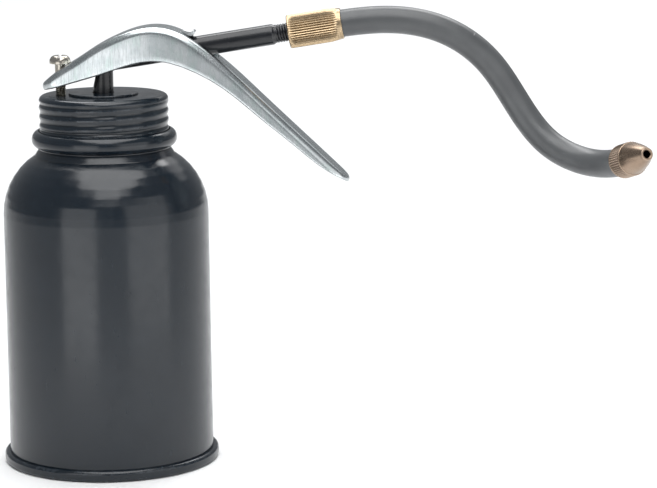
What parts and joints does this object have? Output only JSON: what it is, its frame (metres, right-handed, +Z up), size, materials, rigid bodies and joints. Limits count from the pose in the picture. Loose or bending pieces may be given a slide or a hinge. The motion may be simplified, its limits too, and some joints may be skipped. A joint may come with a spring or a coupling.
{
  "type": "hand pump oil can",
  "caption": "Steel pump oil can with a thumb lever over the screw cap, a bent rigid spout tube and a flexible spout that ends in a brass nozzle.",
  "frame": {"origin": "centre of the plane that the can's bottom seam stands on, on the can's axis", "axes": "+Z up along the can's axis, +X the way the lever and spout point, -Y the side that the nozzle is turned towards"},
  "size_m": [0.246, 0.0912, 0.1737],
  "materials": {
    "can_enamel": "gloss enamel",
    "spout_enamel": "gloss black enamel",
    "zinc_plate": "bright zinc plate, brushed",
    "screw_plate": "nickel plate",
    "plain_steel": "plain",
    "spring_steel": "drawn wire",
    "ball_steel": "ground",
    "nut_brass": "knurled, bright",
    "nozzle_brass": "turned, dull",
    "inner_brass": "turned",
    "seal_rubber": "moulded",
    "hose_pvc": "satin"
  },
  "bodies": {
    "can": {"can_shell": "can_enamel", "can_base": "can_enamel"},
    "cap": {"screw_cap": "can_enamel", "cap_gasket": "seal_rubber", "pump_head": "can_enamel", "head_gasket": "seal_rubber", "ring_nut": "plain_steel", "rod_bush": "inner_brass", "rod_packing": "seal_rubber", "pump_cylinder": "plain_steel", "foot_valve": "inner_brass", "foot_ball_stop": "inner_brass", "suction_tube": "plain_steel", "strainer": "inner_brass", "return_spring": "spring_steel", "pivot_screw": "screw_plate", "pivot_washer": "seal_rubber", "pivot_nut": "plain_steel"},
    "lever": {"lever": "zinc_plate"},
    "spout": {"spout_tube": "spout_enamel", "piston": "inner_brass", "piston_seal": "seal_rubber", "delivery_ball_stop": "inner_brass", "spout_washer": "seal_rubber"},
    "foot_ball": {"foot_ball": "ball_steel"},
    "delivery_ball": {"delivery_ball": "ball_steel"},
    "coupling_nut": {"coupling_nut": "nut_brass"},
    "hose_1": {"hose_nipple": "inner_brass", "hose_link_1": "hose_pvc"},
    "hose_2": {"hose_link_2": "hose_pvc"},
    "hose_3": {"hose_link_3": "hose_pvc"},
    "hose_4": {"hose_link_4": "hose_pvc"},
    "hose_5": {"hose_link_5": "hose_pvc"},
    "hose_6": {"hose_link_6": "hose_pvc"},
    "hose_7": {"hose_link_7": "hose_pvc", "nozzle_nipple": "inner_brass"},
    "nozzle": {"nozzle": "nozzle_brass"}
  },
  "joints": [
    {"name": "cap_lift", "type": "slide", "parent": "can", "child": "cap", "axis": [0, 0, 1], "range_m": [0, 0.14]},
    {"name": "lever_hinge", "type": "hinge", "parent": "cap", "child": "lever", "pos_m": [-0.0122, 0, 0.1526], "axis": [0, 1, 0], "range_deg": [0, 9]},
    {"name": "rod_slide", "type": "slide", "parent": "cap", "child": "spout", "axis": [0, 0, -1], "range_m": [0, 0.0077], "stiffness_N_per_m": 600, "springref_m": -0.012, "deforming": ["return_spring"]},
    {"name": "foot_ball_lift", "type": "slide", "parent": "cap", "child": "foot_ball", "axis": [0, 0, 1], "range_m": [0, 0.0011]},
    {"name": "delivery_ball_lift", "type": "slide", "parent": "spout", "child": "delivery_ball", "axis": [0, 0, 1], "range_m": [0, 0.0013]},
    {"name": "nut_turn", "type": "hinge", "parent": "spout", "child": "coupling_nut", "pos_m": [0.07067, 0, 0.16418], "axis": [0.9884, 0, 0.1521], "range_deg": [0, 1080]},
    {"name": "spout_swivel", "type": "hinge", "parent": "spout", "child": "hose_1", "pos_m": [0.07951, 0, 0.16554], "axis": [0.9884, 0, 0.1521], "continuous": true},
    {"name": "spout_bend_1", "type": "hinge", "parent": "hose_1", "child": "hose_2", "pos_m": [0.11041, 0, 0.16849], "axis": [0, -1, 0], "range_deg": [-12, 12]},
    {"name": "spout_bend_2", "type": "hinge", "parent": "hose_2", "child": "hose_3", "pos_m": [0.12937, 0, 0.16428], "axis": [-0.3947, 0, -0.9188], "range_deg": [-12, 12]},
    {"name": "spout_bend_3", "type": "hinge", "parent": "hose_3", "child": "hose_4", "pos_m": [0.14516, 0, 0.15302], "axis": [0, -1, 0], "range_deg": [-12, 12]},
    {"name": "spout_bend_4", "type": "hinge", "parent": "hose_4", "child": "hose_5", "pos_m": [0.15622, -0.00144, 0.13707], "axis": [-0.8884, 0.0193, -0.4586], "range_deg": [-12, 12]},
    {"name": "spout_bend_5", "type": "hinge", "parent": "hose_5", "child": "hose_6", "pos_m": [0.16796, -0.00682, 0.12266], "axis": [-0.2465, -0.9146, 0.3205], "range_deg": [-12, 12]},
    {"name": "spout_bend_6", "type": "hinge", "parent": "hose_6", "child": "hose_7", "pos_m": [0.18297, -0.01733, 0.11683], "axis": [-0.3002, -0.3331, -0.8938], "range_deg": [-12, 12]},
    {"name": "nozzle_turn", "type": "hinge", "parent": "hose_7", "child": "nozzle", "pos_m": [0.19457, -0.03255, 0.11945], "axis": [0.3999, -0.8742, 0.2755], "range_deg": [0, 720]}
  ],
  "couplings": [
    {"joint": "rod_slide", "follows": "lever_hinge", "m_per_rad": 0.0489}
  ]
}
